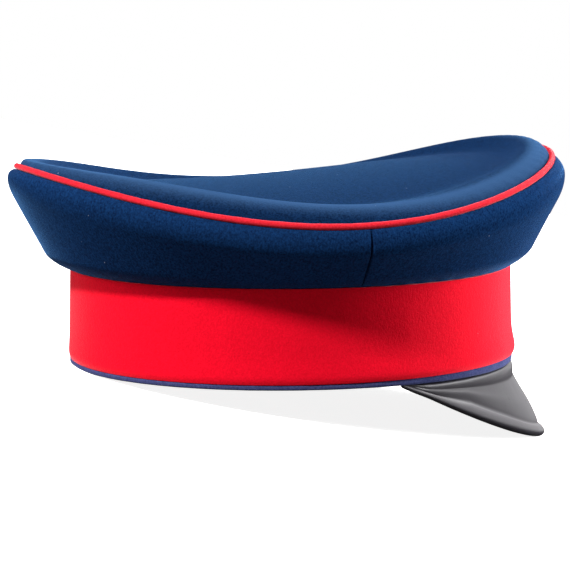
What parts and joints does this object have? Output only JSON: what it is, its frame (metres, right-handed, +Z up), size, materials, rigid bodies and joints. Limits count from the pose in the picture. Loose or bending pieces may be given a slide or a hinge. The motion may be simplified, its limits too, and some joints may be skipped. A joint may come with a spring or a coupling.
{
  "type": "visor cap",
  "caption": "Visor cap: soft dark-blue wool crown with a padded saddle-shaped rim, red piping and band, dark welt and a sloping black leather peak.",
  "frame": {"origin": "on the surface that the cap rests on, under the middle of its bounding box", "axes": "+Z up; -Y is the wearer's front, where the peak is; +X is the wearer's left. The cap rests tipped back about 10 degrees, on the rim of its peak and the back of its band"},
  "size_m": [0.2186, 0.2708, 0.1369],
  "materials": {
    "crown_wool": "dark-blue felted wool with a short brushed nap",
    "piping_wool": "red wool drawn tight round a cord",
    "band_wool": "bright red felted wool, smooth and matt",
    "welt_wool": "dark-blue wool folded into a flat welt",
    "peak_leather": "black polished leather with a rolled rim"
  },
  "bodies": {
    "root": {"top_panel": "crown_wool", "front_side_panel": "crown_wool", "rear_side_panel": "crown_wool", "crown_piping": "piping_wool", "band": "band_wool", "lower_piping": "welt_wool", "visor": "peak_leather"}
  },
  "joints": []
}
